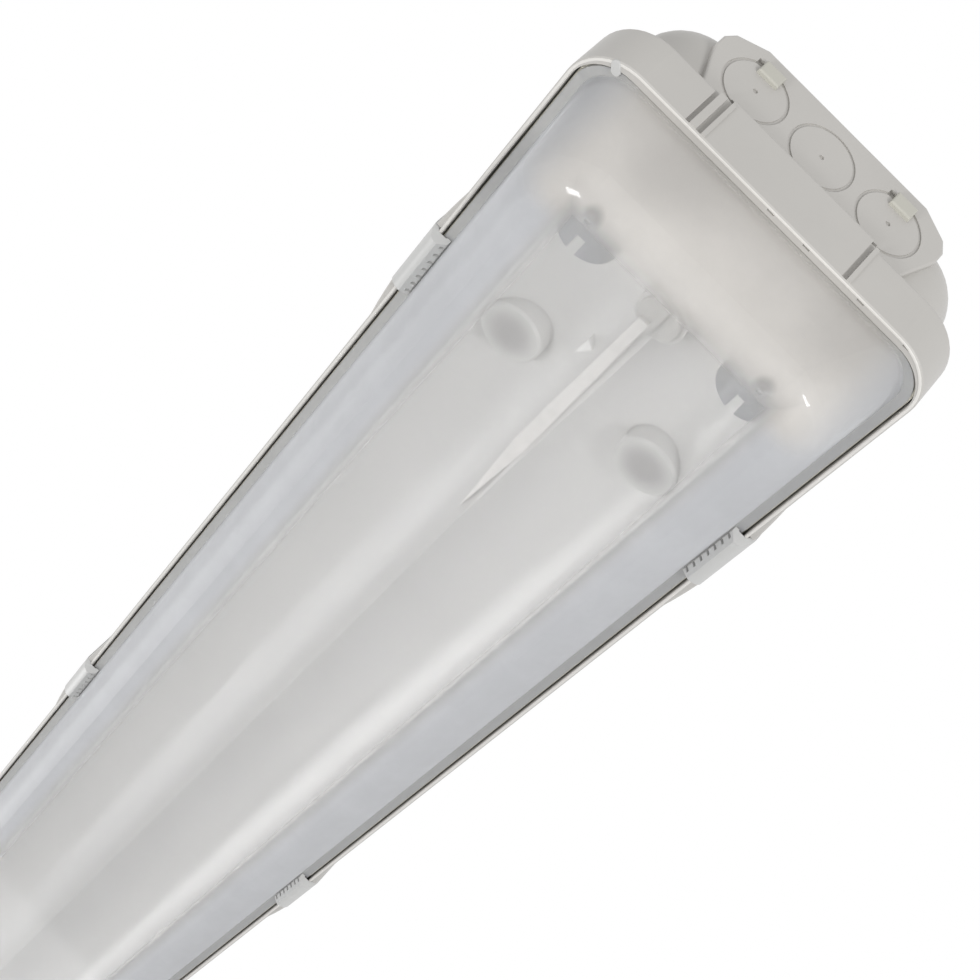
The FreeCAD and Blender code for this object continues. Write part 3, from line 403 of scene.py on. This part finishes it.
def makeMilkColour():
    # Cool milk along the sides and warm milk at the ends, faintly cloudy
    group, start, end = newGroup("milkColour", {"Face": colourKind, "Side": colourKind, "End": colourKind},
                                 {"Colour": colourKind})
    coords = objectCoords(group)
    place = splitCoords(group, coords)
    along = mathNode(group, "ABSOLUTE", place["X"])
    across = mathNode(group, "ABSOLUTE", place["Y"])
    atSide = spanNode(group, across, coverSet["sideSpan"])
    cool = mixNode(group, "RGBA", atSide, start["Face"], start["Side"])
    atEnd = spanNode(group, along, coverSet["warmSpan"])
    offCorner = spanNode(group, across, coverSet["cornerSpan"], (1.0, 0.0))
    warm = mathNode(group, "MULTIPLY", atEnd, offCorner)
    base = mixNode(group, "RGBA", warm, cool, start["End"])
    noise = noiseNode(group, coords, coverSet["cloudScale"], coverSet["cloudDetail"],
                      coverSet["cloudRoughness"])
    cloud = spanNode(group, noise, coverSet["cloudSpan"], coverSet["cloudTone"])
    # Painted light: the milk is painted paler towards the face
    paintedLight = spanNode(group, place["Z"], coverSet["paintedLightSpan"], (coverSet["paintedFaceLight"], 1.0))
    # Painted shade: darker on the flange
    edge = spanNode(group, place["Z"], coverSet["flangeSpan"], (1.0, coverSet["flangeShade"]))
    tone = mathNode(group, "MULTIPLY", mathNode(group, "MULTIPLY", cloud, paintedLight), edge)
    group.links.new(tintNode(group, base, tone), end["Colour"])
    return group


def makeMilkMask():
    # One where the cover is milky: its walls, and the rim of its face beyond the tray
    group, _, end = newGroup("milkMask", {}, {"Mask": numberKind})
    place = splitCoords(group, objectCoords(group))
    along = mathNode(group, "ABSOLUTE", place["X"])
    across = mathNode(group, "ABSOLUTE", place["Y"])
    milk = spanNode(group, place["Z"], coverSet["faceSpan"])
    milk = mathNode(group, "MAXIMUM", milk, spanNode(group, along, coverSet["endSpan"]))
    milk = mathNode(group, "MAXIMUM", milk, spanNode(group, across, coverSet["sideSpan"]))
    gap = distanceNode(group, along, across, coverSet["spotCentre"])
    spot = spanNode(group, gap, coverSet["spotSpan"], (coverSet["spotMilk"], 1.0))
    group.links.new(mathNode(group, "MULTIPLY", milk, spot), end["Mask"])
    return group


def makeCover():
    mat, tree, clear = newMaterial("cover_clear_finish")
    link = tree.links.new
    place = splitCoords(tree, objectCoords(tree))
    along = mathNode(tree, "ABSOLUTE", place["X"])
    clear.inputs["Base Color"].default_value = (*coverSet["clearColour"], 1.0)
    clear.inputs["Roughness"].default_value = coverSet["blur"]
    clear.inputs["IOR"].default_value = coverSet["ior"]
    clear.inputs["Transmission Weight"].default_value = 1.0
    clear.inputs["Coat Weight"].default_value = 1.0
    clear.inputs["Coat Roughness"].default_value = coverSet["clearGloss"]

    # Milk under a coat, of which a part lets light through
    colour = groupNode(tree, makeMilkColour(), {
        "Face": (*coverSet["faceColour"], 1.0),
        "Side": (*coverSet["sideColour"], 1.0),
        "End": (*coverSet["endColour"], 1.0),
    })["Colour"]
    milky = tree.nodes.new("ShaderNodeBsdfPrincipled")
    milky.inputs["Roughness"].default_value = coverSet["milkRoughness"]
    link(colour, milky.inputs["Base Color"])
    link(spanNode(tree, along, coverSet["warmSpan"], coverSet["milkGloss"]), milky.inputs["Coat Roughness"])
    link(spanNode(tree, along, coverSet["warmSpan"], coverSet["milkCoat"]), milky.inputs["Coat Weight"])
    through = tree.nodes.new("ShaderNodeBsdfTranslucent")
    link(colour, through.inputs["Color"])
    thin = spanNode(tree, place["Z"], coverSet["flangeSpan"], (coverSet["thinShare"], 0.0))
    soft = mixShader(tree, thin, milky.outputs[0], through.outputs[0])

    # How much of it shows
    mask = groupNode(tree, makeMilkMask(), {})["Mask"]
    haze = spanNode(tree, along, coverSet["hazeSpan"], (coverSet["clearMilk"], coverSet["endHaze"]))
    wall = mixNode(tree, "FLOAT", mask, haze, coverSet["sideMilk"])
    flange = spanNode(tree, place["Z"], coverSet["flangeSpan"])
    milk = mixNode(tree, "FLOAT", flange, wall, coverSet["flangeMilk"])
    body = mixShader(tree, milk, clear.outputs[0], soft)

    # Lamps shine through the cover, so the tray behind it is lit
    path = tree.nodes.new("ShaderNodeLightPath")
    airy = tree.nodes.new("ShaderNodeBsdfTransparent")
    airy.inputs["Color"].default_value = (*coverSet["shadowColour"], 1.0)
    lit = mixShader(tree, path.outputs["Is Shadow Ray"], body, airy.outputs[0])
    link(lit, tree.nodes["Material Output"].inputs["Surface"])
    return mat


# Metal, paint and foam

plainSet = {
    # slot: colour, roughness, metallic, coat, bump scale, bump strength, stretch where brushed
    "seal_foam": ((0.62, 0.60, 0.52), 0.85, 0.0, 0.0, 900.0, 0.50),
    "tray_white": ((0.620, 0.617, 0.612), 0.30, 0.0, 0.7, 260.0, 0.06),
    "ballast_case": ((0.42, 0.43, 0.44), 0.50, 0.0, 0.0, 300.0, 0.10),
    "capacitor_case": ((0.62, 0.62, 0.63), 0.35, 1.0, 0.0, 200.0, 0.10),
    "earth_brass": ((0.62, 0.45, 0.20), 0.32, 1.0, 0.0, 400.0, 0.10),
    "bracket_steel": ((0.42, 0.42, 0.43), 0.32, 1.0, 0.0, 60.0, 0.25, (60.0, 1.0, 60.0)),
}

paintSet = {
    # trim: colour, roughness, metallic, coat, bump scale, bump strength
    # Painted highlight: paler than the tray's own white, a lit streak along the crest rib
    "crest_highlight_paint": ((0.76, 0.745, 0.73), 0.28, 0.0, 0.6, 260.0, 0.06),
    # Painted highlight: pure white, a glint on the small tab
    "lug_highlight_paint": ((1.0, 1.0, 0.99), 0.25, 0.0, 0.6, 260.0, 0.06),
    # Painted highlight: paler than the tray, a lit line along each tray edge
    "edge_highlight_paint": ((0.74, 0.74, 0.73), 0.25, 0.0, 0.6, 260.0, 0.06),
}

unevenSet = {
    "detail": 4.0,
    "gloss": 0.06,  # how far the roughness strays up and down
    "tone": 0.04,
    "coatRoughness": 0.16,
}


def makePlain(name, colour, roughness, metallic, coat, bumpScale, bumpStrength, stretch=None):
    mat, tree, shader = newMaterial(name)
    link = tree.links.new
    shader.inputs["Metallic"].default_value = metallic
    shader.inputs["Coat Weight"].default_value = coat
    shader.inputs["Coat Roughness"].default_value = unevenSet["coatRoughness"]
    source = objectCoords(tree)
    if stretch:
        mapping = tree.nodes.new("ShaderNodeMapping")
        mapping.inputs["Scale"].default_value = stretch
        link(source, mapping.inputs["Vector"])
        source = mapping.outputs["Vector"]
    noise = noiseNode(tree, source, bumpScale, unevenSet["detail"])
    gloss, tone = unevenSet["gloss"], unevenSet["tone"]
    dark = (*[c * (1.0 - tone) for c in colour], 1.0)
    pale = (*[min(c * (1.0 + tone), 1.0) for c in colour], 1.0)
    link(mixNode(tree, "FLOAT", noise, roughness - gloss, roughness + gloss), shader.inputs["Roughness"])
    link(mixNode(tree, "RGBA", noise, dark, pale), shader.inputs["Base Color"])
    link(bumpNode(tree, noise, bumpStrength), shader.inputs["Normal"])
    return mat


# Short forms for the trim's meshes

def finishPiece(name, bm, mat):
    bmesh.ops.remove_doubles(bm, verts=bm.verts, dist=nearby)
    bmesh.ops.recalc_face_normals(bm, faces=bm.faces)
    mesh = bpy.data.meshes.new(name)
    bm.to_mesh(mesh)
    bm.free()
    mesh.materials.append(mat)
    piece = bpy.data.objects.new(name, mesh)
    scene.collection.objects.link(piece)
    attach(piece, "body")


def turnRound(bm):
    # The same form at the far end of the light
    bmesh.ops.rotate(bm, verts=bm.verts, cent=(0.0, 0.0, 0.0), matrix=Matrix.Rotation(math.pi, 3, "Z"))


def raiseFlat(bm, height):
    lifted = bmesh.ops.extrude_face_region(bm, geom=bm.faces[:])["geom"]
    top = [v for v in lifted if isinstance(v, bmesh.types.BMVert)]
    bmesh.ops.translate(bm, verts=top, vec=(0.0, 0.0, height))


def newRod(radius, length, sides):
    # A rod that lies along X
    bm = bmesh.new()
    bmesh.ops.create_cone(bm, cap_ends=True, segments=sides, radius1=radius, radius2=radius, depth=length,
                          matrix=Matrix.Rotation(math.pi / 2, 4, "Y"))
    return bm


def roundEdges(bm, axis, level, radius, steps):
    # Rounds every edge that lies at one level of an axis
    rim = [e for e in bm.edges if all(abs(getattr(v.co, axis) - level) < nearby for v in e.verts)]
    bmesh.ops.bevel(bm, geom=rim, offset=radius, offset_type="OFFSET", segments=steps, profile=0.5,
                    affect="EDGES", material=-1)


# Trim on the tray, the lamp holders and the lip

# A tapered fold at the crest's end, painted paler as a highlight
crestRib = {
    "name": "crest_rib",
    "points": ((0.5753, -0.0045), (0.5753, -0.0008), (0.4970, -0.0003), (0.4517, -0.0027),
               (0.4970, -0.0053), (0.5160, -0.0053)),
    "low": -0.05115,
    "high": -0.0462,
    "round": 0.00025,
    "steps": 2,
}

# A small tab on the tray, painted pure white as a highlight
trayLug = {
    "name": "tray_lug",
    "points": ((0.5379, -0.0110), (0.5472, -0.0104), (0.5442, -0.0073)),
    "low": -0.0448,
    "high": -0.0412,
    "round": 0.0002,
    "steps": 2,
}


def makeTrayTrim(size, end, mat):
    # A flat outline raised off the tray, rounded where it faces down
    bm = bmesh.new()
    bm.faces.new([bm.verts.new((x, y, size["low"])) for x, y in size["points"]])
    raiseFlat(bm, size["high"] - size["low"])
    roundEdges(bm, "z", size["low"], size["round"], size["steps"])
    if end < 0:
        turnRound(bm)
    finishPiece(size["name"] + ("_front" if end > 0 else "_rear"), bm, mat)


# A rolled edge of the tray, painted pale as a highlight
edgeBead = {
    "halfLong": 0.5900,
    "y": 0.0404,
    "z": -0.0476,
    "radius": 0.00045,
    "sides": 10,
}


def makeEdgeBead(side, mat):
    size = edgeBead
    bm = newRod(size["radius"], 2 * size["halfLong"], size["sides"])
    bmesh.ops.translate(bm, verts=bm.verts, vec=(0.0, side * size["y"], size["z"]))
    finishPiece("tray_edge_right" if side > 0 else "tray_edge_left", bm, mat)


holderBoss = {
    "x": 0.6139,
    "y": 0.0313,
    "z": -0.0725,
    "radius": 0.0026,
    "proud": 0.0022,
    "sides": 28,
    "round": 0.0006,
    "steps": 3,
}


def makeHolderBoss(end, side, mat):
    size = holderBoss
    half = size["proud"] / 2
    bm = newRod(size["radius"], size["proud"], size["sides"])
    roundEdges(bm, "x", half, size["round"], size["steps"])
    bmesh.ops.translate(bm, verts=bm.verts, vec=(size["x"] + half, side * end * size["y"], size["z"]))
    if end < 0:
        turnRound(bm)
    name = "holder_boss_" + ("front_" if end > 0 else "rear_") + ("right" if side > 0 else "left")
    finishPiece(name, bm, mat)


lipBead = {
    "halfX": 0.6346,
    "halfY": 0.0646,
    "corner": 0.0166,
    "width": 0.0009,
    "low": -0.0462,
    "high": -0.0455,
    "round": 0.00018,
    "steps": 12,
}


def roundedLoop(halfX, halfY, corner, steps):
    # Corner by corner round a rectangle with rounded corners
    points = []
    for quarter, (signX, signY) in enumerate(((1, 1), (-1, 1), (-1, -1), (1, -1))):
        for step in range(steps + 1):
            angle = (quarter + step / steps) * math.pi / 2
            points.append((signX * (halfX - corner) + corner * math.cos(angle),
                           signY * (halfY - corner) + corner * math.sin(angle)))
    return points


def makeLipBead(mat):
    # A fine raised line that runs round the lip of the tub, painted pale as a highlight
    size = lipBead
    low, high, width, edge = size["low"], size["high"], size["width"], size["round"]
    profile = ((0.0, high), (0.0, low + edge), (edge, low),
               (width - edge, low), (width, low + edge), (width, high))
    bm = bmesh.new()
    loops = []
    for inset, z in profile:
        outline = roundedLoop(size["halfX"] - inset, size["halfY"] - inset, size["corner"] - inset,
                              size["steps"])
        loops.append([bm.verts.new((x, y, z)) for x, y in outline])
    for first, second in zip(loops, loops[1:] + loops[:1]):
        for i in range(len(first)):
            bm.faces.new((first[i - 1], first[i], second[i], second[i - 1]))
    finishPiece("lip_bead", bm, mat)


lipTab = {
    "x": 0.6300,
    "y": -0.0546,
    "low": -0.0464,
    "high": -0.0457,
    "radius": 0.0015,
    "long": 0.0020,
    "turn": 30.0,
    "sides": 32,
    "round": 0.0003,
    "steps": 3,
}


def makeLipTab(mat):
    # A rounded tongue on the lip at the cover's near left corner
    size = lipTab
    bm = bmesh.new()
    bmesh.ops.create_circle(bm, cap_ends=True, segments=size["sides"], radius=size["radius"])
    back = [v for v in bm.verts if v.co.x > nearby]
    bmesh.ops.translate(bm, verts=back, vec=(size["long"], 0.0, 0.0))
    raiseFlat(bm, size["high"] - size["low"])
    roundEdges(bm, "z", 0.0, size["round"], size["steps"])
    turned = Matrix.Rotation(-math.radians(size["turn"]), 3, "Z")
    bmesh.ops.rotate(bm, verts=bm.verts, cent=(0.0, 0.0, 0.0), matrix=turned)
    bmesh.ops.translate(bm, verts=bm.verts, vec=(size["x"], size["y"], size["low"]))
    finishPiece("lip_tab", bm, mat)


makeCamera()
makeRoom()
print("camera and room made")

mouldedSkin = makeMouldedSkin()
skins = {name: makeSkin(name, mouldedSkin) for name in skinSet}
shadeStarter(skins["starter_case"])
for slot, mat in skins.items():
    dress(slot, mat)
dress("cover_clear", makeCover())
for slot, look in plainSet.items():
    dress(slot, makePlain(slot + "_finish", *look))
print("finishes made")

paints = {name: makePlain(name, *look) for name, look in paintSet.items()}
for end in (1, -1):
    makeTrayTrim(crestRib, end, paints["crest_highlight_paint"])
    makeTrayTrim(trayLug, end, paints["lug_highlight_paint"])
    for side in (1, -1):
        makeHolderBoss(end, side, skins["rotor_plastic"])
for side in (1, -1):
    makeEdgeBead(side, paints["edge_highlight_paint"])
makeLipBead(skins["lip_light"])
makeLipTab(skins["clip_plastic"])
print("trim made")
